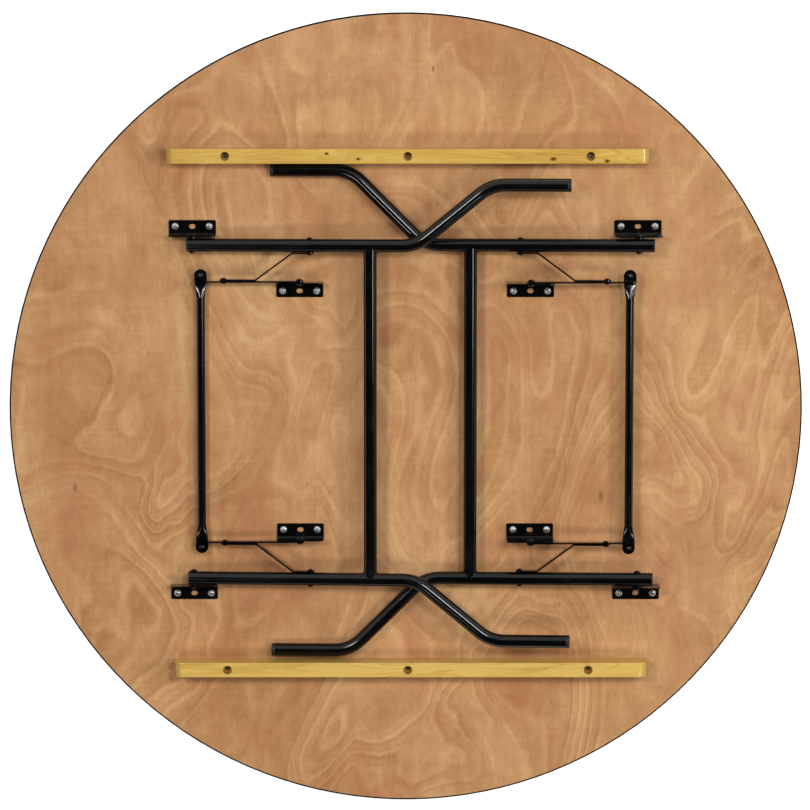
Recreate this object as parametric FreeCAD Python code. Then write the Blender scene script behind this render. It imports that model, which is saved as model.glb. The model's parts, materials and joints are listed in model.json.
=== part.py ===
import FreeCAD, Part
import math
import os
from FreeCAD import Placement, Rotation, Vector

# Round folding banquet table, lying face down with both leg frames folded on its underside.
# Millimetres. Origin: centre of the use face, which lies on the floor. +Z up, out of the underside.
# +X runs from the left leg frame's hinges to the right one's, +Y towards the rear runner.

# Tabletop
TABLE_DIAMETER = 1524.0
TABLE_HEIGHT = 768.0
PANEL_THICKNESS = 18.0
BAND_THICKNESS = 3.0
BAND_CORNER = 1.2
BARB_DEPTH = 9.0
BARB_THICKNESS = 2.2
KERF_CLEARANCE = 0.2

# Stacking runners
REAR_RUNNER_LENGTH = 923.0
FRONT_RUNNER_LENGTH = 913.0
RUNNER_WIDTH = 28.5
RUNNER_HEIGHT = 52.0
RUNNER_END_RADIUS = 19.0
RUNNER_EDGE_RADIUS = 2.0
REAR_RUNNER_Y = 491.0
FRONT_RUNNER_Y = -497.0
REAR_RUNNER_X = 4.0
FRONT_RUNNER_X = 10.5
RUNNER_SCREW_X = 4.0
RUNNER_SCREW_SPACING = 347.0
COUNTERBORE_DIAMETER = 17.0
COUNTERBORE_DEPTH = 24.0

# Screws
SCREW_SHANK = 5.5
SCREW_HEAD = 13.0
SCREW_HEAD_HEIGHT = 3.15
RUNNER_SCREW_HEAD = 10.0
SCREW_BITE = 13.0
SCREW_TIP = 4.0
RECESS_LENGTH_SHARE = 0.56
RECESS_WIDTH = 2.1
RECESS_DEPTH = 2.3
PILOT_CLEARANCE = 0.05

# Bent sheet brackets: one pattern, low under the left frame and high under the right one
BRACKET_LENGTH = 90.0
BRACKET_BASE = 30.0
SHEET = 2.5
SHEET_BEND = 2.5
BASE_CORNER = 3.0
FLANGE_CORNER = 9.0
FLANGE_OVER_PIVOT = 10.0
BRACKET_HOLE_SPACING = 65.0
BRACKET_HOLE_EDGE = 12.0
SPARE_HOLE_LENGTH = 12.5
SPARE_HOLE_WIDTH = 9.0
LOW_PIVOT = 27.0
HIGH_PIVOT = 47.0

# Leg frames
TUBE_OD = 25.4
TUBE_WALL = 1.2
TUBE_Y = 321.0
TUBE_END_GAP = 17.0
FOOT_TO_RUNNER = 0.8
FOOT_PASS_GAP = 0.4
FIRST_BEND_FROM_FOOT = 295.0
SECOND_BEND_FROM_FOOT = 152.0
BEND_RADIUS = 75.0
CROSSBAR_SHARE = 0.522
GLIDE_LENGTH = 6.5
GLIDE_EDGE = 2.0
PLUG_LENGTH = 2.5
INSERT_LENGTH = 14.0
INSERT_CLEARANCE = 0.05
PLUG_TO_RIVET = 0.5
LEFT_HINGE_X = -408.0
RIGHT_HINGE_X = 444.0
FOOT_REST_GAP = 0.5
FRAME_GAP = 3.6

# Folding brace: lock links on the stay brackets, brace links on the legs, a bar across
STAY_OFFSET = 205.0
BRACE_RIVET_OFFSET = 225.5
LOCK_LINK = 144.5
BAR_PAST_KNEE = 44.5
STAY_FLANGE_Y = 249.0
LINK_WIDTH = 16.0
LINK_SHEET = 3.0
KNEE_FLAT = 61.0
BRACE_DIAGONAL = 71.0
TAB_WIDTH = 24.0
BAR_RIVET_TO_LINK = 0.9
TAB_CLEARANCE = 0.4
BAR_OD = 16.0
BAR_WALL = 1.2
BAR_TAPER = 28.0
TONGUE_FLAT = 27.0
TONGUE_WIDTH = 24.0
TONGUE_THICKNESS = 3.0

# Rivets and washers
HINGE_RIVET = 8.0
HINGE_RIVET_HEAD = 14.0
BRACE_RIVET = 6.0
BRACE_RIVET_HEAD = 11.0
HEAD_HEIGHT_SHARE = 0.22
WASHER_OD = 20.0
WASHER_THICKNESS = 3.0
PIN_CLEARANCE = 0.05
SIDE_CLEARANCE = 0.3

# Places that follow from the sizes above
UNDERSIDE = PANEL_THICKNESS
PANEL_RADIUS = TABLE_DIAMETER / 2 - BAND_THICKNESS
TUBE_RADIUS = TUBE_OD / 2
RIGHT_FOOT_Y = REAR_RUNNER_Y - RUNNER_WIDTH / 2 - FOOT_TO_RUNNER - TUBE_RADIUS
LEFT_FOOT_Y = RIGHT_FOOT_Y - TUBE_OD - FOOT_PASS_GAP
HINGE_FLANGE_Y = TUBE_Y + TUBE_RADIUS + WASHER_THICKNESS
BRACE_LINK = BRACE_RIVET_OFFSET - STAY_OFFSET + LOCK_LINK
BAR_REACH = LOCK_LINK + BAR_PAST_KNEE
LOCK_LINK_Y = STAY_FLANGE_Y + SIDE_CLEARANCE
KNEE_LINK_Y = LOCK_LINK_Y + LINK_SHEET + SIDE_CLEARANCE
LEG_LINK_Y = TUBE_Y - TUBE_RADIUS - SIDE_CLEARANCE - LINK_SHEET
TAB_BASE = LINK_WIDTH / 2 + TAB_CLEARANCE
BAR_DROP = TAB_BASE + LINK_SHEET + TONGUE_THICKNESS / 2
BAR_RIVET_Y = KNEE_LINK_Y + LINK_SHEET + BAR_RIVET_TO_LINK + BRACE_RIVET_HEAD / 2
BAR_HALF_LENGTH = BAR_RIVET_Y + TONGUE_WIDTH / 2
SIDES = ("left", "right")
HINGE_X = {"left": LEFT_HINGE_X, "right": RIGHT_HINGE_X}
PIVOT = {"left": LOW_PIVOT, "right": HIGH_PIVOT}
FOOT_Y = {"left": LEFT_FOOT_Y, "right": RIGHT_FOOT_Y}
RUNNER_LENGTH = {"rear": REAR_RUNNER_LENGTH, "front": FRONT_RUNNER_LENGTH}
RUNNER_X = {"rear": REAR_RUNNER_X, "front": FRONT_RUNNER_X}
RUNNER_Y = {"rear": REAR_RUNNER_Y, "front": FRONT_RUNNER_Y}
END_SIGN = {"rear": 1, "front": -1}

# The legs are open where the two brace links lie in one straight line
OPEN_ANGLE = math.degrees(math.acos(
    (STAY_OFFSET ** 2 + BRACE_RIVET_OFFSET ** 2 - (LOCK_LINK + BRACE_LINK) ** 2)
    / (2 * STAY_OFFSET * BRACE_RIVET_OFFSET)))
LEG_LENGTH = {
    side: (TABLE_HEIGHT - PANEL_THICKNESS - PIVOT[side]) / math.sin(math.radians(OPEN_ANGLE))
    for side in SIDES}

ALONG_X = Vector(1, 0, 0)
ALONG_Y = Vector(0, 1, 0)
ALONG_Z = Vector(0, 0, 1)
ORIGIN = Vector(0, 0, 0)


def rest_angles():
    """Folded angle of each leg frame: the right one's feet lie just over the underside, and
    the left one lies over the right one's tubes where they cross."""
    right_drop = HIGH_PIVOT - TUBE_RADIUS - FOOT_REST_GAP
    right = -math.asin(right_drop / LEG_LENGTH["right"])
    spacing = RIGHT_HINGE_X - LEFT_HINGE_X
    left_bend = LEG_LENGTH["left"] - FIRST_BEND_FROM_FOOT
    right_bend = LEG_LENGTH["right"] - FIRST_BEND_FROM_FOOT
    left_cross = left_bend + (spacing - left_bend - right_bend) / 2
    right_cross = spacing - left_cross
    right_height = HIGH_PIVOT + right_cross * math.sin(right)
    left = math.asin((right_height + TUBE_OD + FRAME_GAP - LOW_PIVOT) / left_cross)
    return {"left": math.degrees(left), "right": math.degrees(right)}


def brace_pose(leg_angle):
    """Knee place and the angles of the lock link and the brace link for a leg angle, in the
    leg's plane, with the leg hinge at 0, 0 and the stay pivot STAY_OFFSET along."""
    turn = math.radians(leg_angle)
    rivet = (BRACE_RIVET_OFFSET * math.cos(turn), BRACE_RIVET_OFFSET * math.sin(turn))
    run, rise = rivet[0] - STAY_OFFSET, rivet[1]
    reach = math.hypot(run, rise)
    share = (LOCK_LINK ** 2 + reach ** 2 - BRACE_LINK ** 2) / (2 * LOCK_LINK * reach)
    opening = math.acos(max(-1.0, min(1.0, share)))
    aim = math.atan2(rise, run)
    lock = aim + opening if aim >= 0 else aim - opening
    knee = (STAY_OFFSET + LOCK_LINK * math.cos(lock), LOCK_LINK * math.sin(lock))
    brace = math.atan2(rivet[1] - knee[1], rivet[0] - knee[0])
    return knee, math.degrees(lock), math.degrees(brace)


REST_ANGLE = rest_angles()


def side_placement(side):
    """Moves a piece from its frame's own place, hinge line at 0, to the side it belongs to."""
    turn = 0 if side == "left" else 180
    return Placement(Vector(HINGE_X[side], 0, 0), Rotation(ALONG_Z, turn))


def tilted(side, along, above, angle):
    """Placement of a piece that turns by angle in the leg's plane about a pivot."""
    pivot = Placement(Vector(along, 0, above), Rotation(Vector(0, -1, 0), angle))
    return side_placement(side).multiply(pivot)


def local_sign(side, end):
    """The right side is the left one turned half round, so its rear end is its own front."""
    return END_SIGN[end] if side == "left" else -END_SIGN[end]


def placed(shape, placement):
    moved = shape.copy()
    moved.Placement = placement.multiply(moved.Placement)
    return moved


def on_side(shape, sign):
    """A piece drawn for +Y, mirrored for the -Y end."""
    return shape if sign > 0 else shape.mirror(ORIGIN, ALONG_Y)


def cylinder(radius, length, base, axis=ALONG_Z):
    return Part.makeCylinder(radius, length, base, axis)


def slab(x0, x1, y0, y1, z0, z1):
    return Part.makeBox(x1 - x0, y1 - y0, z1 - z0, Vector(x0, y0, z0))


def revolved(outline):
    """Solid of revolution about Z from a closed list of edges in the XZ plane."""
    face = Part.Face(Part.Wire(outline))
    return face.revolve(ORIGIN, ALONG_Z, 360)


def line(a, b):
    return Part.LineSegment(a, b).toShape()


def arc(a, b, c):
    return Part.Arc(a, b, c).toShape()


def polygon(points):
    return Part.Face(Part.makePolygon(points + points[:1]))


def one(shapes):
    return shapes[0].multiFuse(shapes[1:]).removeSplitter() if len(shapes) > 1 else shapes[0]


def edges_where(shape, test):
    return [e for e in shape.Edges if test(e.CenterOfMass, e)]


# Fasteners

def dome(radius, height):
    """A low round head standing on the XY plane."""
    slope = math.sqrt(0.5)
    sphere = (radius ** 2 + height ** 2) / (2 * height)
    half = math.asin(radius / sphere) / 2
    middle = Vector(sphere * math.sin(half), 0, height - sphere * (1 - math.cos(half)))
    foot = height * (1 - slope)
    outline = [
        line(Vector(0, 0, -foot), Vector(radius, 0, -foot)),
        line(Vector(radius, 0, -foot), Vector(radius, 0, 0)),
        arc(Vector(radius, 0, 0), middle, Vector(0, 0, height)),
        line(Vector(0, 0, height), Vector(0, 0, -foot))]
    head = revolved(outline)
    head.translate(Vector(0, 0, foot))
    return head


def rivet(diameter, head_diameter, grip, heads=(True, True)):
    """A rivet along +Y from 0 to grip, with a domed head past each chosen end."""
    pieces = [cylinder(diameter / 2, grip, ORIGIN)]
    for at_top, wanted in zip((False, True), heads):
        if not wanted:
            continue
        head = dome(head_diameter / 2, HEAD_HEIGHT_SHARE * head_diameter)
        if at_top:
            head.translate(Vector(0, 0, grip))
        else:
            head.rotate(ORIGIN, ALONG_X, 180)
        pieces.append(head)
    body = one(pieces)
    body.rotate(ORIGIN, ALONG_X, -90)
    return body


def pan_screw(head_diameter, grip):
    """A pan-head wood screw with a cross recess; its head sits on z = 0 and its point is down."""
    radius = SCREW_SHANK / 2
    head = dome(head_diameter / 2, SCREW_HEAD_HEIGHT)
    length = grip + SCREW_BITE
    shank = cylinder(radius, length - SCREW_TIP, Vector(0, 0, SCREW_TIP - length))
    tip = Part.makeCone(0, radius, SCREW_TIP, Vector(0, 0, -length))
    body = one([head, shank, tip])
    reach = RECESS_LENGTH_SHARE * head_diameter / 2
    half = RECESS_WIDTH / 2
    floor = head.BoundBox.ZMax - RECESS_DEPTH
    top = head.BoundBox.ZMax + RECESS_DEPTH
    across = slab(-reach, reach, -half, half, floor, top)
    along = slab(-half, half, -reach, reach, floor, top)
    return body.cut(across.fuse(along))


# Tabletop

def bracket_places():
    """Name, side, place of the flange face and the way the base points, for the eight brackets."""
    places = []
    for side in SIDES:
        stay_x = HINGE_X[side] + (STAY_OFFSET if side == "left" else -STAY_OFFSET)
        for end, sign in END_SIGN.items():
            places.append((side + "_" + end + "_hinge_bracket", side, HINGE_X[side],
                           sign * HINGE_FLANGE_Y, sign))
            places.append((side + "_" + end + "_stay_bracket", side, stay_x,
                           sign * STAY_FLANGE_Y, -sign))
    return places


def bracket_screw_points(x, y, way):
    line_y = y + way * (BRACKET_BASE - BRACKET_HOLE_EDGE)
    half = BRACKET_HOLE_SPACING / 2
    return [Vector(x - half, line_y, UNDERSIDE + SHEET), Vector(x + half, line_y, UNDERSIDE + SHEET)]


def runner_screw_points():
    points = []
    seat = UNDERSIDE + RUNNER_HEIGHT - COUNTERBORE_DEPTH
    for end in END_SIGN:
        for step in (-1, 0, 1):
            x = RUNNER_SCREW_X + step * RUNNER_SCREW_SPACING
            points.append(Vector(x, RUNNER_Y[end], seat))
    return points


def tabletop_panel():
    """Round plywood panel with a saw kerf round its edge and a pilot hole for each screw."""
    panel = cylinder(PANEL_RADIUS, PANEL_THICKNESS, ORIGIN)
    kerf_height = BARB_THICKNESS + 2 * KERF_CLEARANCE
    kerf_base = Vector(0, 0, (PANEL_THICKNESS - kerf_height) / 2)
    kerf_depth = BARB_DEPTH + KERF_CLEARANCE
    kerf = cylinder(PANEL_RADIUS + 1, kerf_height, kerf_base)
    kerf = kerf.cut(cylinder(PANEL_RADIUS - kerf_depth, kerf_height, kerf_base))
    points = runner_screw_points()
    for _, _, x, y, way in bracket_places():
        points += bracket_screw_points(x, y, way)
    bottom = UNDERSIDE - SCREW_BITE - PILOT_CLEARANCE
    pilots = [cylinder(SCREW_SHANK / 2 + PILOT_CLEARANCE, PANEL_THICKNESS, Vector(p.x, p.y, bottom))
              for p in points]
    return panel.cut(kerf).cut(Part.Compound(pilots))


def edge_band():
    """Vinyl edge moulding: a band with eased corners and a barb that sits in the panel's kerf."""
    outer = TABLE_DIAMETER / 2
    inner = PANEL_RADIUS
    root = inner - BARB_DEPTH
    mid = PANEL_THICKNESS / 2
    low, high = mid - BARB_THICKNESS / 2, mid + BARB_THICKNESS / 2
    ease = BAND_CORNER
    cut = ease * (1 - math.sqrt(0.5))
    corners = [
        (root, low), (inner, low), (inner, 0), (outer - ease, 0), (outer, ease),
        (outer, PANEL_THICKNESS - ease), (outer - ease, PANEL_THICKNESS), (inner, PANEL_THICKNESS),
        (inner, high), (root, high)]
    points = [Vector(r, 0, z) for r, z in corners]
    edges = []
    for i, a in enumerate(points):
        b = points[(i + 1) % len(points)]
        if i == 3:
            edges.append(arc(a, Vector(outer - cut, 0, cut), b))
        elif i == 5:
            edges.append(arc(a, Vector(outer - cut, 0, PANEL_THICKNESS - cut), b))
        else:
            edges.append(line(a, b))
    return revolved(edges)


def runner(end):
    """Pine skid with rounded ends, eased edges and three counterbored screw holes."""
    half = RUNNER_LENGTH[end] / 2
    height, radius = RUNNER_HEIGHT, RUNNER_END_RADIUS
    sag = radius * (1 - math.sqrt(0.5))
    y = -RUNNER_WIDTH / 2

    def at(x, z):
        return Vector(x, y, z)

    outline = [
        line(at(-half, 0), at(half, 0)),
        line(at(half, 0), at(half, height - radius)),
        arc(at(half, height - radius), at(half - sag, height - sag), at(half - radius, height)),
        line(at(half - radius, height), at(radius - half, height)),
        arc(at(radius - half, height), at(sag - half, height - sag), at(-half, height - radius)),
        line(at(-half, height - radius), at(-half, 0))]
    skid = Part.Face(Part.Wire(outline)).extrude(Vector(0, RUNNER_WIDTH, 0))
    rims = edges_where(skid, lambda c, e: abs(abs(c.y) - RUNNER_WIDTH / 2) < 1e-6 and c.z > 1e-6)
    skid = skid.makeFillet(RUNNER_EDGE_RADIUS, rims)
    skid.translate(Vector(RUNNER_X[end], RUNNER_Y[end], UNDERSIDE))
    bores = []
    for p in runner_screw_points():
        bores.append(cylinder(COUNTERBORE_DIAMETER / 2, COUNTERBORE_DEPTH + 1, p))
        bores.append(cylinder(SCREW_SHANK / 2 + PILOT_CLEARANCE, RUNNER_HEIGHT,
                              Vector(p.x, p.y, UNDERSIDE - 1)))
    return skid.cut(Part.Compound(bores))


def bracket(side, x, y, way):
    """Bent angle: base on the underside, upright flange with the pivot hole at its middle."""
    height = PIVOT[side] + FLANGE_OVER_PIVOT
    half = BRACKET_LENGTH / 2
    inner, outer = SHEET_BEND, SHEET_BEND + SHEET
    cut = 1 - math.sqrt(0.5)

    def at(across, up):
        return Vector(-half, across, up)

    outline = [
        line(at(BRACKET_BASE, 0), at(outer, 0)),
        arc(at(outer, 0), at(outer * cut, outer * cut), at(0, outer)),
        line(at(0, outer), at(0, height)),
        line(at(0, height), at(SHEET, height)),
        line(at(SHEET, height), at(SHEET, outer)),
        arc(at(SHEET, outer), at(SHEET + inner * cut, SHEET + inner * cut), at(outer, SHEET)),
        line(at(outer, SHEET), at(BRACKET_BASE, SHEET)),
        line(at(BRACKET_BASE, SHEET), at(BRACKET_BASE, 0))]
    body = Part.Face(Part.Wire(outline)).extrude(Vector(BRACKET_LENGTH, 0, 0))
    base_corners = edges_where(
        body, lambda c, e: abs(abs(c.x) - half) < 1e-6 and abs(c.y - BRACKET_BASE) < 1e-6
        and abs(c.z - SHEET / 2) < 1e-6)
    body = body.makeFillet(BASE_CORNER, base_corners)
    flange_corners = edges_where(
        body, lambda c, e: abs(abs(c.x) - half) < 1e-6 and abs(c.z - height) < 1e-6
        and abs(c.y - SHEET / 2) < 1e-6)
    body = body.makeFillet(FLANGE_CORNER, flange_corners)
    body.rotate(ORIGIN, ALONG_Z, 0 if way > 0 else 180)
    body.translate(Vector(x, y, UNDERSIDE))
    holes = [cylinder(SCREW_SHANK / 2 + PILOT_CLEARANCE, 3 * SHEET, p - Vector(0, 0, 2 * SHEET))
             for p in bracket_screw_points(x, y, way)]
    line_y = y + way * (BRACKET_BASE - BRACKET_HOLE_EDGE)
    spare = SPARE_HOLE_WIDTH / 2
    run = SPARE_HOLE_LENGTH / 2 - spare
    top, bottom = UNDERSIDE + 2 * SHEET, UNDERSIDE - SHEET
    holes.append(slab(x - run, x + run, line_y - spare, line_y + spare, bottom, top))
    for step in (-run, run):
        holes.append(cylinder(spare, top - bottom, Vector(x + step, line_y, bottom)))
    holes.append(cylinder(HINGE_RIVET / 2 + PIN_CLEARANCE, 4 * SHEET,
                          Vector(x, y - 2 * SHEET, UNDERSIDE + PIVOT[side]), ALONG_Y))
    return body.cut(one(holes))


# Leg frames, drawn with the hinge at the origin and the leg along +X

def leg_path(side, start, finish):
    """Centre line of one leg from start to finish along the leg, with two round bends."""
    length, foot_y = LEG_LENGTH[side], FOOT_Y[side]
    corners = [
        Vector(start, TUBE_Y, 0), Vector(length - FIRST_BEND_FROM_FOOT, TUBE_Y, 0),
        Vector(length - SECOND_BEND_FROM_FOOT, foot_y, 0), Vector(finish, foot_y, 0)]
    edges = []
    last = corners[0]
    for before, corner, after in zip(corners, corners[1:], corners[2:]):
        inward = (before - corner).normalize()
        outward = (after - corner).normalize()
        half = inward.getAngle(outward) / 2
        run = BEND_RADIUS / math.tan(half)
        begin, end = corner + inward * run, corner + outward * run
        bisector = (inward + outward).normalize()
        crown = corner + bisector * (BEND_RADIUS / math.sin(half) - BEND_RADIUS)
        edges.append(line(last, begin))
        edges.append(arc(begin, crown, end))
        last = end
    edges.append(line(last, corners[-1]))
    return Part.Wire(edges)


def piped(path, radius):
    start = path.OrderedVertexes[0].Point
    ring = Part.Wire(Part.makeCircle(radius, start, ALONG_X))
    return path.makePipeShell([ring], True, False)


def leg_tube(side):
    """One bent leg tube, cross-drilled for the hinge rivet and the brace rivet."""
    start = TUBE_END_GAP - PIVOT[side] + PLUG_LENGTH
    finish = LEG_LENGTH[side] - GLIDE_LENGTH
    path = leg_path(side, start, finish)
    tube = piped(path, TUBE_RADIUS).cut(piped(path, TUBE_RADIUS - TUBE_WALL))
    bore = TUBE_Y - TUBE_OD
    drills = [
        cylinder(HINGE_RIVET / 2 + PIN_CLEARANCE, 2 * TUBE_OD, Vector(0, bore, 0), ALONG_Y),
        cylinder(BRACE_RIVET / 2 + PIN_CLEARANCE, 2 * TUBE_OD,
                 Vector(BRACE_RIVET_OFFSET, bore, 0), ALONG_Y)]
    return tube.cut(Part.Compound(drills))


def crossbar_place(side):
    """Along the leg, between the furthest brace rivet from the tube's end and the first bend, so
    that both frames are the same weldment drilled at two heights."""
    rivet_place = BRACE_RIVET_OFFSET + HIGH_PIVOT - PIVOT[side]
    bend_place = LEG_LENGTH[side] - FIRST_BEND_FROM_FOOT
    return rivet_place + CROSSBAR_SHARE * (bend_place - rivet_place)


def crossbar(side):
    """Straight tube between the two legs, coped to sit on their round walls."""
    at = Vector(crossbar_place(side), -TUBE_Y, 0)
    bar = cylinder(TUBE_RADIUS, 2 * TUBE_Y, at, ALONG_Y)
    bar = bar.cut(cylinder(TUBE_RADIUS - TUBE_WALL, 2 * TUBE_Y, at, ALONG_Y))
    leg = piped(leg_path(side, 0, LEG_LENGTH[side]), TUBE_RADIUS)
    for sign in (1, -1):
        bar = bar.cut(on_side(leg, sign))
    return bar


def tube_end(rim_length, edge, insert):
    """Moulded plastic end: a rim as wide as the tube and a spigot pushed into its bore. The
    rim's seat is at the origin, the rim points along +X."""
    spigot_radius = TUBE_RADIUS - TUBE_WALL - INSERT_CLEARANCE
    rim = cylinder(TUBE_RADIUS, rim_length, ORIGIN, ALONG_X)
    end_rim = edges_where(rim, lambda c, e: abs(c.x - rim_length) < 1e-6 and len(e.Vertexes) == 1)
    rim = rim.makeFillet(edge, end_rim)
    return rim.fuse(cylinder(spigot_radius, insert, Vector(-insert, 0, 0), ALONG_X))


def foot_glide(side):
    glide = tube_end(GLIDE_LENGTH, GLIDE_EDGE, INSERT_LENGTH)
    glide.translate(Vector(LEG_LENGTH[side] - GLIDE_LENGTH, FOOT_Y[side], 0))
    return glide


def tube_plug(side):
    """Closes the hinge end of a leg; its spigot stops short of the hinge rivet."""
    past_hinge = PIVOT[side] - TUBE_END_GAP
    room = past_hinge - PLUG_LENGTH - HINGE_RIVET / 2 - PLUG_TO_RIVET
    plug = tube_end(PLUG_LENGTH, PLUG_LENGTH / 2, min(INSERT_LENGTH, room))
    plug.rotate(ORIGIN, ALONG_Z, 180)
    plug.translate(Vector(TUBE_END_GAP - PIVOT[side] + PLUG_LENGTH, TUBE_Y, 0))
    return plug


def brace_rivet():
    """Joins the brace link to the leg, through both walls of the tube."""
    inner = LEG_LINK_Y - SIDE_CLEARANCE
    body = rivet(BRACE_RIVET, BRACE_RIVET_HEAD, TUBE_Y + TUBE_RADIUS - inner)
    body.translate(Vector(BRACE_RIVET_OFFSET, inner, 0))
    return body


# Folding brace, drawn for the +Y end

def strip_plan(points, thickness):
    """Face of a bent strip seen from above: a path thickened to both sides with mitred corners."""
    sides = ([], [])
    for i, p in enumerate(points):
        before = (p - points[i - 1]).normalize() if i else None
        after = (points[i + 1] - p).normalize() if i + 1 < len(points) else None
        ways = [w for w in (before, after) if w]
        normal = sum((ALONG_Z.cross(w) for w in ways), Vector()).normalize()
        reach = thickness / 2 / normal.dot(ALONG_Z.cross(ways[0]))
        sides[0].append(p + normal * reach)
        sides[1].append(p - normal * reach)
    return polygon(sides[0] + sides[1][::-1])


def brace_link():
    """Cranked strip from the knee, at the origin, to the brace rivet on the leg's inner side."""
    half = LINK_WIDTH / 2
    near, far = KNEE_LINK_Y + LINK_SHEET / 2, LEG_LINK_Y + LINK_SHEET / 2
    points = [Vector(-half, near, -half), Vector(KNEE_FLAT, near, -half),
              Vector(KNEE_FLAT + BRACE_DIAGONAL, far, -half), Vector(BRACE_LINK + half, far, -half)]
    strip = strip_plan(points, LINK_SHEET).extrude(Vector(0, 0, LINK_WIDTH))
    low, depth = KNEE_LINK_Y - LINK_SHEET, LEG_LINK_Y - KNEE_LINK_Y + 3 * LINK_SHEET
    outline = slab(0, BRACE_LINK, low, low + depth, -half, half)
    for x in (0, BRACE_LINK):
        outline = outline.fuse(cylinder(half, depth, Vector(x, low, 0), ALONG_Y))
    drills = [cylinder(BRACE_RIVET / 2 + PIN_CLEARANCE, depth, Vector(x, low, 0), ALONG_Y)
              for x in (0, BRACE_LINK)]
    return strip.common(outline).cut(Part.Compound(drills))


def lock_link():
    """Straight strip from the stay pivot, at the origin, past the knee to a tab turned outward
    that catches the brace link's edge and carries the bar."""
    half = LINK_WIDTH / 2
    low, high = LOCK_LINK_Y, LOCK_LINK_Y + LINK_SHEET
    tab_half = TAB_WIDTH / 2
    end = BAR_REACH + tab_half
    tab_top = TAB_BASE + LINK_SHEET
    strip = slab(0, end, low, high, -half, half)
    middle_y = low + LINK_SHEET / 2
    tail = edges_where(
        strip, lambda c, e: abs(c.x - end) < 1e-6 and abs(c.y - middle_y) < 1e-6 and c.z < 0)
    strip = strip.makeFillet(half, tail)
    nose = cylinder(half, LINK_SHEET, Vector(0, low, 0), ALONG_Y)
    skirt = slab(BAR_REACH - tab_half, end, low, high, 0, tab_top)
    tab = slab(BAR_REACH - tab_half, end, low, BAR_RIVET_Y, TAB_BASE, tab_top)
    tip = cylinder(tab_half, LINK_SHEET, Vector(BAR_REACH, BAR_RIVET_Y, TAB_BASE))
    body = one([strip, nose, skirt, tab, tip])
    depth = 2 * LINK_SHEET
    pin_hole = BRACE_RIVET / 2 + PIN_CLEARANCE
    drills = [
        cylinder(HINGE_RIVET / 2 + PIN_CLEARANCE, depth, Vector(0, low - 1, 0), ALONG_Y),
        cylinder(pin_hole, depth, Vector(LOCK_LINK, low - 1, 0), ALONG_Y),
        cylinder(pin_hole, depth, bar_rivet_place() - Vector(0, 0, 1))]
    return body.cut(Part.Compound(drills))


def bar_rivet_place():
    """Foot of the rivet that holds the bar's tongue to the tab, on the tab's inner face."""
    return Vector(BAR_REACH, BAR_RIVET_Y, TAB_BASE)


def tongue_outline(y):
    """The tube pressed flat: a slot-shaped outline across Y."""
    half = TONGUE_THICKNESS / 2
    run = TONGUE_WIDTH / 2 - half
    return Part.Wire([
        line(Vector(-run, y, -half), Vector(run, y, -half)),
        arc(Vector(run, y, -half), Vector(run + half, y, 0), Vector(run, y, half)),
        line(Vector(run, y, half), Vector(-run, y, half)),
        arc(Vector(-run, y, half), Vector(-run - half, y, 0), Vector(-run, y, -half))])


def round_outline(y, radius):
    """The tube's round outline, split where the pressed outline has its corners."""
    bend = math.radians(45)
    side, up = radius * math.cos(bend), radius * math.sin(bend)
    return Part.Wire([
        arc(Vector(-side, y, -up), Vector(0, y, -radius), Vector(side, y, -up)),
        arc(Vector(side, y, -up), Vector(radius, y, 0), Vector(side, y, up)),
        arc(Vector(side, y, up), Vector(0, y, radius), Vector(-side, y, up)),
        arc(Vector(-side, y, up), Vector(-radius, y, 0), Vector(-side, y, -up))])


def lock_bar():
    """Tube across the two lock links with both ends pressed into flat round-ended tongues."""
    radius = BAR_OD / 2
    flat_start = BAR_HALF_LENGTH - TONGUE_FLAT
    taper_start = flat_start - BAR_TAPER
    middle = cylinder(radius, 2 * taper_start, Vector(0, -taper_start, 0), ALONG_Y)
    bore = cylinder(radius - BAR_WALL, 2 * taper_start, Vector(0, -taper_start, 0), ALONG_Y)
    middle = middle.cut(bore)
    tip = TONGUE_WIDTH / 2
    ends = []
    for sign in (1, -1):
        taper = Part.makeLoft([round_outline(taper_start, radius), tongue_outline(flat_start)], True)
        tongue = Part.Face(tongue_outline(flat_start)).extrude(Vector(0, TONGUE_FLAT, 0))
        keep = slab(-tip, tip, flat_start, BAR_HALF_LENGTH - tip, -radius, radius)
        keep = keep.fuse(cylinder(tip, BAR_OD, Vector(0, BAR_HALF_LENGTH - tip, -radius)))
        tongue = tongue.common(keep)
        hole = Vector(0, bar_rivet_place().y, -radius)
        tongue = tongue.cut(cylinder(BRACE_RIVET / 2 + PIN_CLEARANCE, BAR_OD, hole))
        ends += [on_side(taper, sign), on_side(tongue, sign)]
    bar = one([middle] + ends)
    bar.translate(Vector(BAR_REACH, 0, BAR_DROP))
    return bar


def bar_rivet():
    """Holds a tongue of the bar to the tab, one head on each."""
    body = rivet(BRACE_RIVET, BRACE_RIVET_HEAD, LINK_SHEET + TONGUE_THICKNESS)
    body.rotate(ORIGIN, ALONG_X, 90)
    body.translate(bar_rivet_place())
    return body


def knee_rivet_half(face_y, head_outside):
    """Half of the knee rivet, flush with the face where the two links slide on each other."""
    body = rivet(BRACE_RIVET, BRACE_RIVET_HEAD, LINK_SHEET, (not head_outside, head_outside))
    body.translate(Vector(0, face_y, 0))
    return body


# Hinge and stay pivots, drawn for the +Y end with the pivot at the origin

def hinge_rivet():
    inner = TUBE_Y - TUBE_RADIUS - SIDE_CLEARANCE
    body = rivet(HINGE_RIVET, HINGE_RIVET_HEAD, HINGE_FLANGE_Y + SHEET - inner)
    body.translate(Vector(0, inner, 0))
    return body


def hinge_washer():
    thickness = WASHER_THICKNESS - SIDE_CLEARANCE
    base = Vector(0, HINGE_FLANGE_Y - thickness, 0)
    ring = cylinder(WASHER_OD / 2, thickness, base, ALONG_Y)
    return ring.cut(cylinder(HINGE_RIVET / 2 + PIN_CLEARANCE, thickness, base, ALONG_Y))


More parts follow.
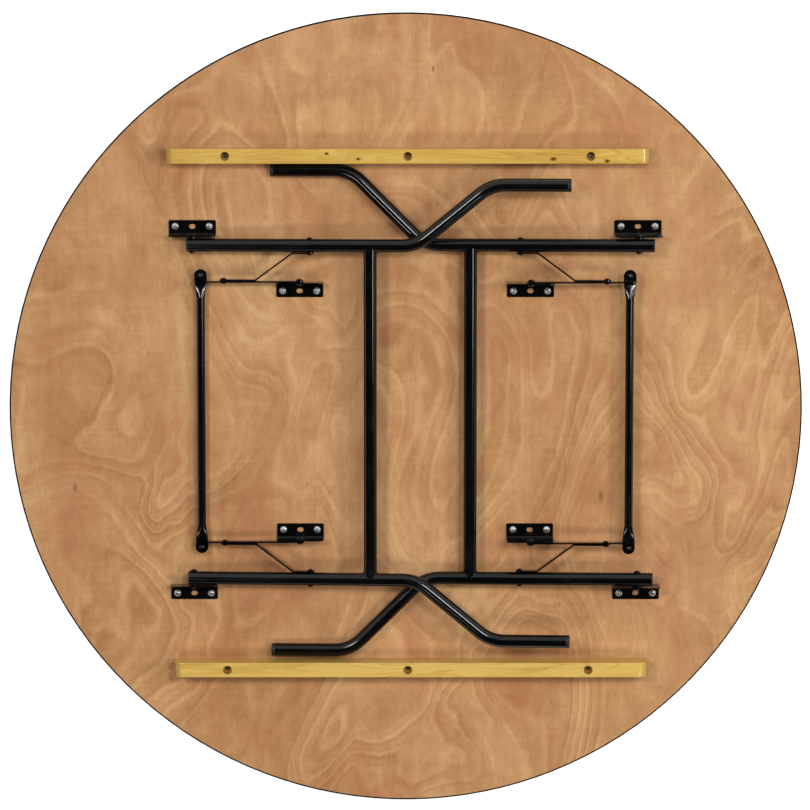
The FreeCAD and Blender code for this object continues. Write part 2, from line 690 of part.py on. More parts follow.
def stay_rivet():
    inner = STAY_FLANGE_Y - SHEET
    outer = LOCK_LINK_Y + LINK_SHEET + SIDE_CLEARANCE
    body = rivet(HINGE_RIVET, HINGE_RIVET_HEAD, outer - inner)
    body.translate(Vector(0, inner, 0))
    return body


def tabletop_pieces():
    pieces = {"tabletop_panel": tabletop_panel(), "edge_band": edge_band()}
    for end in END_SIGN:
        pieces[end + "_runner"] = runner(end)
    grip = RUNNER_HEIGHT - COUNTERBORE_DEPTH
    screw = pan_screw(RUNNER_SCREW_HEAD, grip)
    pieces["runner_screws"] = Part.Compound(
        [placed(screw, Placement(p, Rotation())) for p in runner_screw_points()])
    screw = pan_screw(SCREW_HEAD, SHEET)
    for side in SIDES:
        screws = []
        for name, bracket_side, x, y, way in bracket_places():
            if bracket_side != side:
                continue
            pieces[name] = bracket(side, x, y, way)
            screws += [placed(screw, Placement(p, Rotation()))
                       for p in bracket_screw_points(x, y, way)]
        pieces[side + "_bracket_screws"] = Part.Compound(screws)
        height = UNDERSIDE + PIVOT[side]
        hinge = tilted(side, 0, height, 0)
        stay = tilted(side, STAY_OFFSET, height, 0)
        for name, shape, placement in (
                ("_hinge_rivets", hinge_rivet(), hinge), ("_hinge_washers", hinge_washer(), hinge),
                ("_stay_rivets", stay_rivet(), stay)):
            pair = [placed(on_side(shape, sign), placement) for sign in (1, -1)]
            pieces[side + name] = Part.Compound(pair)
    return pieces


def leg_frame_pieces(side):
    placement = tilted(side, 0, UNDERSIDE + PIVOT[side], REST_ANGLE[side])
    pieces = {side + "_crossbar": placed(crossbar(side), placement)}
    tube, glide = leg_tube(side), foot_glide(side)
    for end in END_SIGN:
        sign = local_sign(side, end)
        pieces[side + "_" + end + "_leg_tube"] = placed(on_side(tube, sign), placement)
        pieces[side + "_" + end + "_foot_glide"] = placed(on_side(glide, sign), placement)
    for name, shape in (("_tube_plugs", tube_plug(side)), ("_brace_rivets", brace_rivet())):
        pair = [placed(on_side(shape, sign), placement) for sign in (1, -1)]
        pieces[side + name] = Part.Compound(pair)
    return pieces


def brace_pieces(side):
    knee, lock_angle, brace_angle = brace_pose(REST_ANGLE[side])
    height = UNDERSIDE + PIVOT[side]
    lock = tilted(side, STAY_OFFSET, height, lock_angle)
    brace = tilted(side, knee[0], height + knee[1], brace_angle)
    inner_half = knee_rivet_half(LOCK_LINK_Y, False)
    inner_half.translate(Vector(LOCK_LINK, 0, 0))
    outer_half = knee_rivet_half(KNEE_LINK_Y, True)
    pieces = {side + "_lock_bar": placed(lock_bar(), lock)}
    for name, shape in (("_bar_rivets", bar_rivet()), ("_lock_knee_rivets", inner_half)):
        pair = [placed(on_side(shape, sign), lock) for sign in (1, -1)]
        pieces[side + name] = Part.Compound(pair)
    link, strip = lock_link(), brace_link()
    for end in END_SIGN:
        sign = local_sign(side, end)
        stem = side + "_" + end
        pieces[stem + "_lock_link"] = placed(on_side(link, sign), lock)
        pieces[stem + "_brace_link"] = placed(on_side(strip, sign), brace)
        pieces[stem + "_knee_rivet"] = placed(on_side(outer_half, sign), brace)
    return pieces


def main():
    os.makedirs("parts", exist_ok=True)
    pieces = tabletop_pieces()
    for side in SIDES:
        pieces.update(leg_frame_pieces(side))
        pieces.update(brace_pieces(side))
    for name, shape in pieces.items():
        shape.exportStep("parts/" + name + ".step")
    for side in SIDES:
        knee, lock_angle, brace_angle = brace_pose(REST_ANGLE[side])
        _, lock_open, brace_open = brace_pose(OPEN_ANGLE)
        print(side, "leg", round(REST_ANGLE[side], 4), "to", round(OPEN_ANGLE, 4),
              "length", round(LEG_LENGTH[side], 2), "knee", [round(v, 3) for v in knee],
              "lock", round(lock_angle, 4), "to", round(lock_open, 4),
              "brace", round(brace_angle, 4), "to", round(brace_open, 4))


main()
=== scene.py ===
import json
import math

import bmesh
import bpy
from mathutils import Matrix, Vector


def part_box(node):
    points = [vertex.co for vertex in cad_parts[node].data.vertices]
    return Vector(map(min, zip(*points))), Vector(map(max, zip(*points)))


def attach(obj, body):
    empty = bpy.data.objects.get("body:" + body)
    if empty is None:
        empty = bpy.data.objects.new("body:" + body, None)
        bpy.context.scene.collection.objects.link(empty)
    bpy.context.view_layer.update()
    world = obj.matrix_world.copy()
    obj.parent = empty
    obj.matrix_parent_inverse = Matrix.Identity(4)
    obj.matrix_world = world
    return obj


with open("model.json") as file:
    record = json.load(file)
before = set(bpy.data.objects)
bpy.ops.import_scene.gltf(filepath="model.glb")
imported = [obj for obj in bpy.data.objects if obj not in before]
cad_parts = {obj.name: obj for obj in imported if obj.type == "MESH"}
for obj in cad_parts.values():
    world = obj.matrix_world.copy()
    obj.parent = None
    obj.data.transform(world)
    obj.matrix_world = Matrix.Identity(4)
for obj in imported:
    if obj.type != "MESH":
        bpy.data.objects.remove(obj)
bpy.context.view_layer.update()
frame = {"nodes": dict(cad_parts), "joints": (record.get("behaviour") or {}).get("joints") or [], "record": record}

# Round folding banquet table, face down, legs folded. Metres, in the part's own frame:
# +X right, +Y up in the picture, +Z out of the underside towards the camera.

NODES = frame["nodes"]
SLOT_OF = {sub["node"]: sub["material_slot"] for sub in frame["record"]["subparts"]}

# Camera
CAMERA_TILT = math.radians(6.6)
CAMERA_DISTANCE = 7.6
CAMERA_AIM = Vector((-0.0014, 0.0106, 0.018))
CAMERA_LENS = 175.7
SENSOR_WIDTH = 36.0

# Stage: a white floor just under the table, and a dark ceiling that ends at an edge over +Y
WHITE = (1, 1, 1, 1)
FLOOR_COLOUR = (0.86, 0.86, 0.86, 1)
FLOOR_REACH = 30.0
FLOOR_HEIGHT = -0.0005
FLOOR_GLOW = 0.78
CEILING_COLOUR = (0.04, 0.04, 0.04, 1)
CEILING_REACH = 60.0
CEILING_EDGE = 6.2
CEILING_HEIGHT = 14.0
STAGE_ROUGHNESS = 0.9

# Light: what the world gives to matt surfaces, and the lamps. A lamp's size is across and then
# up, its power in watts.
WORLD_LIGHT = 0.30
ORIGIN = (0, 0, 0)
NEUTRAL = (1.0, 1.0, 1.0)
WARM = (1.0, 0.98, 0.95)
CORNER_LAMP = (1.2, 1.2)
LAMPS = {
    "rear_right": dict(place=(1.8, 1.9, 6.5), aim=ORIGIN, size=CORNER_LAMP, power=132, colour=NEUTRAL),
    "rear_left": dict(place=(-2.8, 1.9, 6.3), aim=ORIGIN, size=CORNER_LAMP, power=130, colour=NEUTRAL),
    "front_right": dict(place=(2.2, -2.2, 4.8), aim=ORIGIN, size=CORNER_LAMP, power=54, colour=WARM),
    "front_left": dict(place=(-2.2, -2.2, 4.8), aim=ORIGIN, size=CORNER_LAMP, power=44, colour=WARM),
    "side": dict(place=(3.2, 0.57, 3.5), aim=(0, 0.57, 0), size=(1.8, 0.9), power=66, colour=NEUTRAL)}

# Colours, linear
VENEER_DARK = (0.33, 0.145, 0.048, 1)
VENEER_MID = (0.49, 0.256, 0.104, 1)
VENEER_LIGHT = (0.61, 0.350, 0.158, 1)
VENEER_PALE = (0.70, 0.440, 0.225, 1)
VENEER_RED = (0.43, 0.155, 0.070, 1)
PORE_BROWN = (0.22, 0.090, 0.034, 1)
PINE_DARK = (0.51, 0.284, 0.056, 1)
PINE_MID = (0.605, 0.377, 0.082, 1)
PINE_LIGHT = (0.705, 0.469, 0.122, 1)
PINE_LINE = (0.43, 0.205, 0.024, 1)
PINE_END = (0.36, 0.175, 0.022, 1)
KNOT_BROWN = (0.120, 0.028, 0.0005, 1)
COAT_BLACK = (0.0014, 0.0014, 0.0016, 1)
COAT_DUST = (0.0032, 0.0032, 0.0034, 1)
VINYL_BLACK = (0.0012, 0.0012, 0.0012, 1)
VINYL_SCUFF = (0.0050, 0.0047, 0.0044, 1)
PLASTIC_BLACK = (0.010, 0.010, 0.0108, 1)
PLASTIC_DULL = (0.024, 0.024, 0.0255, 1)
ZINC_BRIGHT = (0.68, 0.67, 0.64, 1)
ZINC_DULL = (0.42, 0.41, 0.39, 1)
# This zinc colour is painted shade for the screws' recesses.
ZINC_RECESS_SHADE = (0.045, 0.042, 0.038, 1)

# Ranges: a whole share, and where most of a noise lies
UNIT = (0.0, 1.0)
NOISE_MIDDLE = (0.3, 0.7)

# Veneer. A texture is noise over X, Y and Z times a stretch, and draws out along the small number.
VENEER_TEXTURES = {
    "broad": dict(stretch=(3.0, 1.8, 1.0), place=(0.4, 0.2, 0), detail=2.2, roughness=0.40,
                  distortion=0.9),
    "ragged": dict(stretch=(26.0, 13.0, 1.0), detail=4.0, roughness=0.6),
    "calm": dict(stretch=(3.4, 2.0, 1.0), place=(3.1, 0.7, 0)),
    "blotch": dict(stretch=(14.0, 10.0, 1.0), place=(1.7, 5.0, 0), detail=6.0, roughness=0.70,
                   distortion=0.4),
    "cloud": dict(stretch=(2.6, 1.5, 1.0), place=(2.0, 2.0, 0), roughness=0.55),
    "streak": dict(stretch=(75.0, 6.0, 1.0), place=(0, 3.0, 0), detail=4.0, roughness=0.6),
    "ripple": dict(stretch=(9.0, 150.0, 1.0), detail=2.0),
    "grain": dict(stretch=(300.0, 60.0, 1.0), detail=4.0, roughness=0.65),
    "pores": dict(stretch=(330.0, 26.0, 1.0), place=(4.0, 0, 0), detail=2.0),
    "blush": dict(stretch=(8.0, 4.6, 1.0), place=(5.5, 9.0, 0), detail=5.0, roughness=0.62,
                  distortion=0.5)}
VENEER_WEIGHTS = {"figure": 0.058, "band": 0.042, "blotch": 0.31, "cloud": 0.32, "streak": 0.10,
                  "ripple": 0.06, "grain": 0.15}
VENEER_TONES = ((0.34, VENEER_DARK), (0.48, VENEER_MID), (0.58, VENEER_LIGHT), (0.70, VENEER_PALE))
RING_COUNT = 19.0
RING_SHARPNESS = 0.25
RING_SHADE = -0.65
RING_RAGGEDNESS = 0.032
BAND_COUNT = 5.0
BAND_SHARPNESS = -0.7
CALM_RANGE = (0.36, 0.58)
CALM_RINGS = (0.15, 1.0)
BLUSH_RANGE = (0.46, 0.70)
BLUSH_SHARE = (0.0, 0.55)
PORE_RANGE = (0.66, 0.82)
PORE_SHARE = (0.0, 0.40)
VENEER_ROUGHNESS = (0.48, 0.62)
VENEER_SHINE = 0.2
VENEER_BUMP = 0.10
VENEER_BUMP_HEIGHT = 0.0003

# Pine
PINE_TEXTURES = {
    "field": dict(stretch=(2.2, 22.0, 22.0), place=(0.6, 0, 0), detail=2.0, roughness=0.4,
                  distortion=0.3),
    "calm": dict(stretch=(4.0, 20.0, 20.0), place=(7.0, 0, 0), detail=2.0),
    "fibre": dict(stretch=(9.0, 420.0, 420.0), detail=4.0, roughness=0.6),
    "cloud": dict(stretch=(5.0, 40.0, 40.0), place=(2.0, 0, 0))}
PINE_WEIGHTS = {"shade": 0.05, "fibre": 0.35, "cloud": 0.62}
PINE_TONES = ((0.36, PINE_DARK), (0.50, PINE_MID), (0.66, PINE_LIGHT))
FLAME_COUNT = 15.0
FLAME_SHARPNESS = 0.72
FLAME_RANGE = (0.40, 0.62)
FLAME_SHARE = (0.08, 0.36)
END_GRAIN_RANGE = (0.30, 0.80)
END_GRAIN_SHARE = (0.0, 0.75)
# Painted light: the front runner's pine tone is lifted to stand in for light it lacks; the rear one is not lifted.
FRONT_PAINTED_LIGHT = 0.12
REAR_PAINTED_LIGHT = 0.0
PINE_ROUGHNESS = (0.30, 0.42)
PINE_SHINE = 0.05
PINE_BUMP = 0.10
PINE_BUMP_HEIGHT = 0.0004
VARNISH = 0.60
VARNISH_ROUGHNESS = 0.08

# Knots, each as its place in X and Y and its radius: in the rear runner, and small ones in the
# veneer. A squeeze by axis draws them out along the grain.
REAR_KNOTS = ((-0.150, 0.496, 0.0034), (-0.090, 0.486, 0.0034), (0.280, 0.486, 0.0046),
              (0.382, 0.482, 0.0042))
REAR_KNOT_SQUEEZE = (0.6, 1.0, 0.5)
PIN_KNOTS = ((-0.637, -0.150, 0.0058), (0.376, -0.167, 0.0062), (0.052, 0.655, 0.0040))
PIN_KNOT_SQUEEZE = (1.0, 0.5, 0.5)
PIN_KNOT_SHARE = 0.75
KNOT_RAGGEDNESS = 0.8
KNOT_INNER = 0.75
KNOT_OUTER = 1.5
KNOT_SHARE = (0.95, 0.0)

# Black skins: peel is how fine the orange peel is, bloom a faint dust
COATINGS = {
    "edge_vinyl": dict(dark=VINYL_BLACK, dull=VINYL_SCUFF, roughness=(0.40, 0.52), peel=900.0,
                       bump=0.10, shine=0.05),
    "powder_coat": dict(dark=COAT_BLACK, dull=COAT_DUST, roughness=(0.09, 0.16), peel=1400.0,
                        bump=0.06, shine=0.36),
    "black_plastic": dict(dark=PLASTIC_BLACK, dull=PLASTIC_DULL, roughness=(0.42, 0.55), peel=1100.0,
                          bump=0.12, shine=0.30)}
BLOOM_TEXTURE = dict(stretch=(14.0, 14.0, 14.0), detail=5.0, roughness=0.6)
BLOOM_RANGE = (0.48, 0.74)
PEEL_DETAIL = 2.0
PEEL_HEIGHT = 0.0002

# Zinc
PATCH_TEXTURE = dict(stretch=(260.0, 260.0, 260.0), detail=4.0, roughness=0.6)
PATCH_WEIGHT = 0.7
SCRATCH_TEXTURE = dict(stretch=(3000.0, 400.0, 900.0), detail=2.0)
SCRATCH_WEIGHT = 0.3
ZINC_TONES = ((0.36, ZINC_DULL), (0.62, ZINC_BRIGHT))
# Painted shade in the screws' recesses from ambient occlusion: how far it reaches and where it fades.
RECESS_SHADE_REACH = 0.003
RECESS_SHADE_RANGE = (0.45, 0.90)
ZINC_METAL = 0.8
ZINC_ROUGHNESS = (0.24, 0.40)
ZINC_BUMP = 0.08
ZINC_BUMP_HEIGHT = 0.0001

# Weld beads where a crossbar meets a leg tube
TUBE_RADIUS = 0.0127
BEAD_RADIUS = 0.0019
BEAD_SWEEP = math.radians(62)
BEAD_STEPS = 40
BEAD_SIDES = 10
BEAD_RIPPLES = 11
BEAD_RIPPLE_DEPTH = 0.10
BEAD_END = 0.06
BEAD_TAPER = 0.35
BEAD_TANGENT_STEP = 0.01


# Shader helpers

def start_material(name):
    material = bpy.data.materials.new(name)
    material.use_nodes = True
    tree = material.node_tree
    return material, tree, tree.nodes["Principled BSDF"]


def add(tree, kind, inputs=None, **settings):
    """A node with its settings; an input is a value or the output socket that feeds it."""
    node = tree.nodes.new(kind)
    for key, value in settings.items():
        setattr(node, key, value)
    for key, value in (inputs or {}).items():
        if isinstance(value, bpy.types.NodeSocket):
            tree.links.new(value, node.inputs[key])
        else:
            node.inputs[key].default_value = value
    return node


def texture(tree, stretch, place=ORIGIN, detail=3.0, roughness=0.5, distortion=0.0):
    """Noise over the object's own coordinates, stretched by axis and moved to a place."""
    coords = add(tree, "ShaderNodeTexCoord")
    mapping = add(tree, "ShaderNodeMapping",
                  {"Vector": coords.outputs["Object"], "Scale": stretch, "Location": place})
    node = add(tree, "ShaderNodeTexNoise", {
        "Vector": mapping.outputs["Vector"], "Scale": 1.0, "Detail": detail,
        "Roughness": roughness, "Distortion": distortion})
    return node.outputs["Fac"]


def textures(tree, settings):
    return {name: texture(tree, **setting) for name, setting in settings.items()}


def math_node(tree, operation, a, b=0.0):
    return add(tree, "ShaderNodeMath", {0: a, 1: b}, operation=operation).outputs[0]


def remap(tree, value, source, target, kind="LINEAR"):
    """A value's source range drawn onto a target range, and held at its ends."""
    node = add(tree, "ShaderNodeMapRange", {
        "Value": value, "From Min": source[0], "From Max": source[1],
        "To Min": target[0], "To Max": target[1]}, interpolation_type=kind)
    return node.outputs["Result"]


def ramp(tree, value, stops):
    node = add(tree, "ShaderNodeValToRGB", {"Fac": value})
    elements = node.color_ramp.elements
    while len(elements) < len(stops):
        elements.new(0.5)
    for element, (place, colour) in zip(elements, stops):
        element.position = place
        element.color = colour
    return node.outputs["Color"]


def mixed(tree, factor, a, b):
    node = add(tree, "ShaderNodeMix", {0: factor, 6: a, 7: b}, data_type="RGBA")
    return node.outputs[2]


def bumped(tree, shader, height, strength, distance):
    node = add(tree, "ShaderNodeBump", {
        "Height": height, "Strength": strength, "Distance": distance})
    tree.links.new(node.outputs["Normal"], shader.inputs["Normal"])


def weighted(tree, parts):
    """Sum of values, each times its weight."""
    total = None
    for value, weight in parts:
        term = math_node(tree, "MULTIPLY", value, weight)
        total = term if total is None else math_node(tree, "ADD", total, term)
    return total


# Materials

def ring_phase(tree, field, count):
    """Angle that turns once between levels of a smooth field, as growth rings meet a face."""
    return math_node(tree, "MULTIPLY", field, 2 * math.pi * count)


def ring_lines(tree, phase, sharpness):
    return remap(tree, math_node(tree, "SINE", phase), (sharpness, 1.0), UNIT, "SMOOTHSTEP")


def ring_shade(tree, phase):
    """The soft side of each ring, a quarter turn from its line."""
    return remap(tree, math_node(tree, "COSINE", phase), UNIT, UNIT, "SMOOTHSTEP")


def knot_spot(tree, coords, ragged, place, radius, squeeze):
    """A share for the inside of a knot at a place on a face, falling to nothing at a ragged edge."""
    offset = add(tree, "ShaderNodeVectorMath", {0: coords, 1: place}, operation="SUBTRACT")
    squeezed = add(tree, "ShaderNodeVectorMath",
                   {0: offset.outputs[0], 1: squeeze}, operation="MULTIPLY")
    reach = add(tree, "ShaderNodeVectorMath", {0: squeezed.outputs[0]}, operation="LENGTH")
    edge = math_node(tree, "ADD", reach.outputs["Value"],
                     math_node(tree, "MULTIPLY", ragged, radius * KNOT_RAGGEDNESS))
    return remap(tree, edge, (radius * KNOT_INNER, radius * KNOT_OUTER), KNOT_SHARE, "SMOOTHSTEP")


def veneer_material():
    """Rotary-cut plywood face: nested growth-ring contours in loops, a blotchy reddish mottle,
    streaks along Y, faint knife ripple across them, short fine pores and small knots."""
    material, tree, shader = start_material("plywood")
    coords = add(tree, "ShaderNodeTexCoord").outputs["Object"]
    layers = textures(tree, VENEER_TEXTURES)
    field = weighted(tree, ((layers["broad"], 1.0), (layers["ragged"], RING_RAGGEDNESS)))
    phase = ring_phase(tree, field, RING_COUNT)
    lines = weighted(tree, ((ring_lines(tree, phase, RING_SHARPNESS), 1.0),
                            (ring_shade(tree, phase), RING_SHADE)))
    ringed = remap(tree, layers["calm"], CALM_RANGE, CALM_RINGS)
    layers["figure"] = math_node(tree, "MULTIPLY", lines, ringed)
    layers["band"] = ring_lines(tree, ring_phase(tree, field, BAND_COUNT), BAND_SHARPNESS)
    tone = weighted(tree, [(layers[name], weight) for name, weight in VENEER_WEIGHTS.items()])
    colour = ramp(tree, tone, VENEER_TONES)
    colour = mixed(tree, remap(tree, layers["blush"], BLUSH_RANGE, BLUSH_SHARE), colour, VENEER_RED)
    colour = mixed(tree, remap(tree, layers["pores"], PORE_RANGE, PORE_SHARE), colour, PORE_BROWN)
    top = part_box("tabletop_panel")[1][2]
    for x, y, radius in PIN_KNOTS:
        spot = knot_spot(tree, coords, layers["grain"], (x, y, top), radius, PIN_KNOT_SQUEEZE)
        share = math_node(tree, "MULTIPLY", spot, PIN_KNOT_SHARE)
        colour = mixed(tree, share, colour, PORE_BROWN)
    tree.links.new(colour, shader.inputs["Base Color"])
    roughness = remap(tree, layers["grain"], NOISE_MIDDLE, VENEER_ROUGHNESS)
    tree.links.new(roughness, shader.inputs["Roughness"])
    shader.inputs["Specular IOR Level"].default_value = VENEER_SHINE
    bumped(tree, shader, layers["grain"], VENEER_BUMP, VENEER_BUMP_HEIGHT)
    return material


def pine_material(name, knots, painted_light):
    """Varnished pine: flame-shaped growth lines along X, dark knots where given, darker end
    grain, and a lift in tone that is painted light, making one runner lighter for light it lacks."""
    material, tree, shader = start_material(name)
    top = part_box("rear_runner")[1][2]
    texture_space = add(tree, "ShaderNodeTexCoord").outputs
    layers = textures(tree, PINE_TEXTURES)
    phase = ring_phase(tree, layers["field"], FLAME_COUNT)
    layers["shade"] = ring_shade(tree, phase)
    tone = weighted(tree, [(layers[layer], weight) for layer, weight in PINE_WEIGHTS.items()])
    # The lift added to the tone is painted light.
    colour = ramp(tree, math_node(tree, "ADD", tone, painted_light), PINE_TONES)
    drawn = math_node(tree, "MULTIPLY", ring_lines(tree, phase, FLAME_SHARPNESS),
                      remap(tree, layers["calm"], FLAME_RANGE, FLAME_SHARE))
    colour = mixed(tree, drawn, colour, PINE_LINE)
    facing = add(tree, "ShaderNodeSeparateXYZ", {0: texture_space["Normal"]}).outputs["X"]
    end_grain = remap(tree, math_node(tree, "ABSOLUTE", facing), END_GRAIN_RANGE, END_GRAIN_SHARE)
    colour = mixed(tree, end_grain, colour, PINE_END)
    for x, y, radius in knots:
        spot = knot_spot(tree, texture_space["Object"], layers["fibre"], (x, y, top), radius,
                         REAR_KNOT_SQUEEZE)
        colour = mixed(tree, spot, colour, KNOT_BROWN)
    tree.links.new(colour, shader.inputs["Base Color"])
    roughness = remap(tree, layers["fibre"], NOISE_MIDDLE, PINE_ROUGHNESS)
    tree.links.new(roughness, shader.inputs["Roughness"])
    shader.inputs["Specular IOR Level"].default_value = PINE_SHINE
    shader.inputs["Coat Weight"].default_value = VARNISH
    shader.inputs["Coat Roughness"].default_value = VARNISH_ROUGHNESS
    bumped(tree, shader, layers["fibre"], PINE_BUMP, PINE_BUMP_HEIGHT)
    return material


def coated_material(name, dark, dull, roughness, peel, bump, shine):
    """A dark moulded or powder-coated skin: fine orange peel and a faint dusty bloom."""
    material, tree, shader = start_material(name)
    bloom = texture(tree, **BLOOM_TEXTURE)
    dust = remap(tree, bloom, BLOOM_RANGE, UNIT)
    tree.links.new(mixed(tree, dust, dark, dull), shader.inputs["Base Color"])
    tree.links.new(remap(tree, bloom, NOISE_MIDDLE, roughness), shader.inputs["Roughness"])
    shader.inputs["Specular IOR Level"].default_value = shine
    skin = texture(tree, (peel, peel, peel), detail=PEEL_DETAIL)
    bumped(tree, shader, skin, bump, PEEL_HEIGHT)
    return material


def zinc_material():
    """Zinc plate with dull patches and fine scratches, and painted shade in the recess."""
    material, tree, shader = start_material("zinc")
    patch = texture(tree, **PATCH_TEXTURE)
    scratch = texture(tree, **SCRATCH_TEXTURE)
    tone = weighted(tree, ((patch, PATCH_WEIGHT), (scratch, SCRATCH_WEIGHT)))
    plate = ramp(tree, tone, ZINC_TONES)
    # Painted shade: ambient occlusion darkens the screw's own recess towards the dark zinc colour.
    recess_occlusion = add(tree, "ShaderNodeAmbientOcclusion", {"Distance": RECESS_SHADE_REACH}, only_local=True)
    unshaded = remap(tree, recess_occlusion.outputs["AO"], RECESS_SHADE_RANGE, UNIT)
    tree.links.new(mixed(tree, unshaded, ZINC_RECESS_SHADE, plate), shader.inputs["Base Color"])
    shader.inputs["Metallic"].default_value = ZINC_METAL
    tree.links.new(remap(tree, tone, NOISE_MIDDLE, ZINC_ROUGHNESS), shader.inputs["Roughness"])
    bumped(tree, shader, scratch, ZINC_BUMP, ZINC_BUMP_HEIGHT)
    return material


def dress():
    """Every CAD node takes its slot's material; the rear runner's pine has the knots, and the front runner's pine
    is lifted as painted light.
    """
    made = {"plywood": veneer_material(),
            "pine": pine_material("pine", (), FRONT_PAINTED_LIGHT),
            "zinc": zinc_material()}
    for slot, setting in COATINGS.items():
        made[slot] = coated_material(slot, **setting)
    knotted = pine_material("pine_knotted", REAR_KNOTS, REAR_PAINTED_LIGHT)
    for name, node in NODES.items():
        node.data.materials.clear()
        node.data.materials.append(knotted if name == "rear_runner" else made[SLOT_OF[name]])
    return made


# Weld beads

def bead_point(turn):
    """Centre of the bead where two equal tubes meet at a right angle, in the joint's own axes:
    X along the leg, Y from the leg's axis along the crossbar, Z up."""
    return Vector((TUBE_RADIUS * math.cos(turn), abs(TUBE_RADIUS * math.cos(turn)),
                   TUBE_RADIUS * math.sin(turn)))


def bead_radius(share):
    """Radius at a share of the bead's length: rippled, and tapering to both ends."""
    taper = math.sin(math.pi * (BEAD_END + (1 - 2 * BEAD_END) * share)) ** BEAD_TAPER
    ripple = 1 + BEAD_RIPPLE_DEPTH * math.sin(2 * math.pi * BEAD_RIPPLES * share)
    return BEAD_RADIUS * taper * ripple


def bead_loop(mesh, turn, radius):
    """One loop of points round the bead, square to its run."""
    centre = bead_point(turn)
    along = (bead_point(turn + BEAD_TANGENT_STEP) - bead_point(turn - BEAD_TANGENT_STEP)).normalized()
    side = along.cross(Vector((0, 1, 0))).normalized()
    up = along.cross(side).normalized()
    loop = []
    for k in range(BEAD_SIDES):
        angle = 2 * math.pi * k / BEAD_SIDES
        spoke = math.cos(angle) * side + math.sin(angle) * up
        loop.append(mesh.verts.new(centre + radius * spoke))
    return loop


def bead_mesh(name, middle_turn):
    """A bead along one side of the seam."""
    mesh = bmesh.new()
    loops = []
    for i in range(BEAD_STEPS + 1):
        share = i / BEAD_STEPS
        loops.append(bead_loop(mesh, middle_turn + (2 * share - 1) * BEAD_SWEEP, bead_radius(share)))
    for near, far in zip(loops, loops[1:]):
        for k in range(BEAD_SIDES):
            after = (k + 1) % BEAD_SIDES
            mesh.faces.new((near[k], near[after], far[after], far[k]))
    mesh.faces.new(loops[0][::-1])
    mesh.faces.new(loops[-1])
    bmesh.ops.recalc_face_normals(mesh, faces=mesh.faces)
    for face in mesh.faces:
        face.smooth = True
    data = bpy.data.meshes.new(name)
    mesh.to_mesh(data)
    mesh.free()
    piece = bpy.data.objects.new(name, data)
    bpy.context.scene.collection.objects.link(piece)
    return piece


def middle(node):
    low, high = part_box(node)
    return (Vector(low) + Vector(high)) / 2


def weld_crossbar(side, material):
    """Beads on both sides of both seams of one frame's crossbar, tilted as the frame lies."""
    hinge = next(joint for joint in frame["joints"] if joint["name"] == side + "_leg_fold")
    centre = middle(side + "_crossbar")
    run = centre - Vector(hinge["pos_m"])
    tilt = math.atan2(run.z, abs(run.x)) * (-1 if run.x > 0 else 1)
    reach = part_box(side + "_crossbar")[1][1]
    for end, sign in (("rear", 1), ("front", -1)):
        for label, turn in (("right", 0.0), ("left", math.pi)):
            name = "_".join((side, end, label, "weld_bead"))
            piece = bead_mesh(name, turn)
            half_turn = Matrix.Identity(4) if sign < 0 else Matrix.Rotation(math.pi, 4, "Z")
            place = Matrix.Translation((centre.x, sign * reach, centre.z))
            piece.data.transform(place @ Matrix.Rotation(tilt, 4, "Y") @ half_turn)
            piece.data.materials.append(material)
            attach(piece, side + "_leg_frame")


# Stage

def shown_rays(tree):
    """1 for rays that show the white surroundings, to the eye or in a reflection."""
    rays = add(tree, "ShaderNodeLightPath").outputs
    seen = math_node(tree, "MAXIMUM", rays["Is Camera Ray"], rays["Is Glossy Ray"])
    return math_node(tree, "MAXIMUM", seen, rays["Is Transmission Ray"])


def floor_material():
    """White floor that glows for the camera and in reflections, enough to hide the object's shadow."""
    material, tree, shader = start_material("floor")
    shader.inputs["Base Color"].default_value = FLOOR_COLOUR
    shader.inputs["Roughness"].default_value = STAGE_ROUGHNESS
    shader.inputs["Emission Color"].default_value = WHITE
    tree.links.new(math_node(tree, "MULTIPLY", shown_rays(tree), FLOOR_GLOW),
                   shader.inputs["Emission Strength"])
    return material


def ceiling_material():
    """Dark ceiling over the studio, so that the tops of the black tubes stay black."""
    material, _, shader = start_material("ceiling")
    shader.inputs["Base Color"].default_value = CEILING_COLOUR
    shader.inputs["Roughness"].default_value = STAGE_ROUGHNESS
    return material


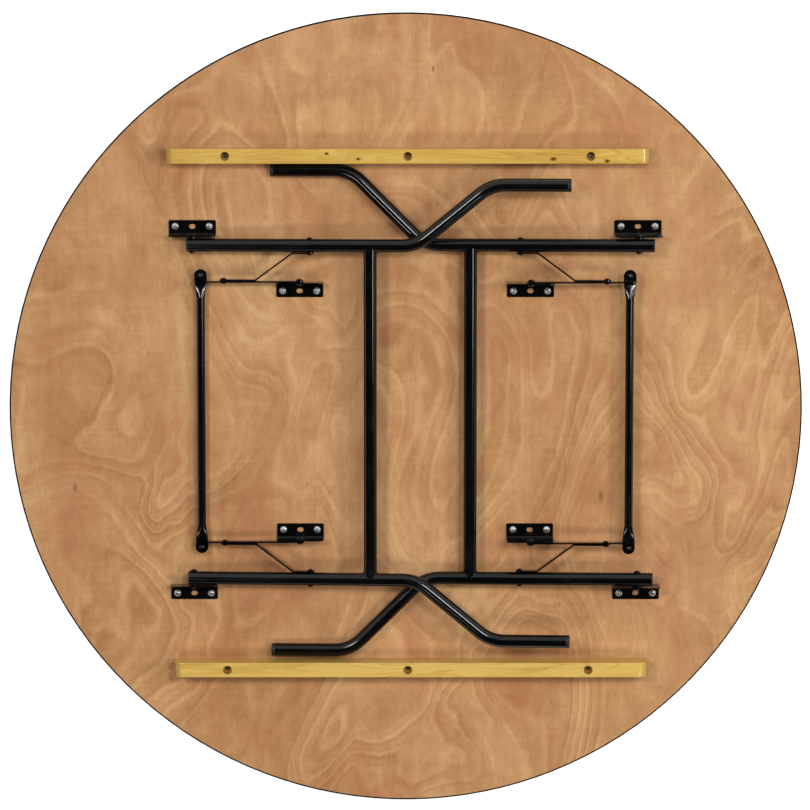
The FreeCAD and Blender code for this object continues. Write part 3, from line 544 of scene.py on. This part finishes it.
def stage_sheet(name, reach, far_edge, height, material):
    """A flat sheet that reaches as far to each side and to the front, with its own far edge."""
    corners = [(-reach, -reach, height), (reach, -reach, height),
               (reach, far_edge, height), (-reach, far_edge, height)]
    data = bpy.data.meshes.new(name)
    data.from_pydata(corners, [], [(0, 1, 2, 3)])
    data.materials.append(material)
    sheet = bpy.data.objects.new(name, data)
    bpy.context.scene.collection.objects.link(sheet)


def build_stage():
    stage_sheet("floor", FLOOR_REACH, FLOOR_REACH, FLOOR_HEIGHT, floor_material())
    stage_sheet("ceiling", CEILING_REACH, CEILING_EDGE, CEILING_HEIGHT, ceiling_material())


def area_light(name, place, aim, size, power, colour):
    data = bpy.data.lights.new(name, "AREA")
    data.shape = "RECTANGLE"
    data.size, data.size_y = size
    data.energy = power
    data.color = colour
    lamp = bpy.data.objects.new(name, data)
    lamp.location = place
    lamp.rotation_euler = (Vector(aim) - Vector(place)).to_track_quat("-Z", "Y").to_euler()
    bpy.context.scene.collection.objects.link(lamp)


def build_light():
    """A white world, dimmer to matt surfaces than to the eye, and the lamps."""
    world = bpy.data.worlds.new("studio")
    bpy.context.scene.world = world
    world.use_nodes = True
    tree = world.node_tree
    backdrop = tree.nodes["Background"]
    backdrop.inputs["Color"].default_value = WHITE
    strength = remap(tree, shown_rays(tree), UNIT, (WORLD_LIGHT, 1.0))
    tree.links.new(strength, backdrop.inputs["Strength"])
    for name, setting in LAMPS.items():
        area_light(name, **setting)


def build_camera():
    """Camera almost square to the underside, leaning over +Y, with +Y up in the picture."""
    back = Vector((0, math.sin(CAMERA_TILT), math.cos(CAMERA_TILT)))
    across = Vector((1, 0, 0))
    up = back.cross(across)
    place = CAMERA_AIM + CAMERA_DISTANCE * back
    turn = Matrix((across, up, back)).transposed().to_4x4()
    data = bpy.data.cameras.new("camera")
    data.sensor_width = SENSOR_WIDTH
    data.lens = CAMERA_LENS
    camera = bpy.data.objects.new("camera", data)
    camera.matrix_world = Matrix.Translation(place) @ turn
    bpy.context.scene.collection.objects.link(camera)
    bpy.context.scene.camera = camera


bpy.context.scene.view_settings.view_transform = "Standard"
materials = dress()
for frame_side in ("left", "right"):
    weld_crossbar(frame_side, materials["powder_coat"])
build_stage()
build_light()
build_camera()

bpy.context.view_layer.update()
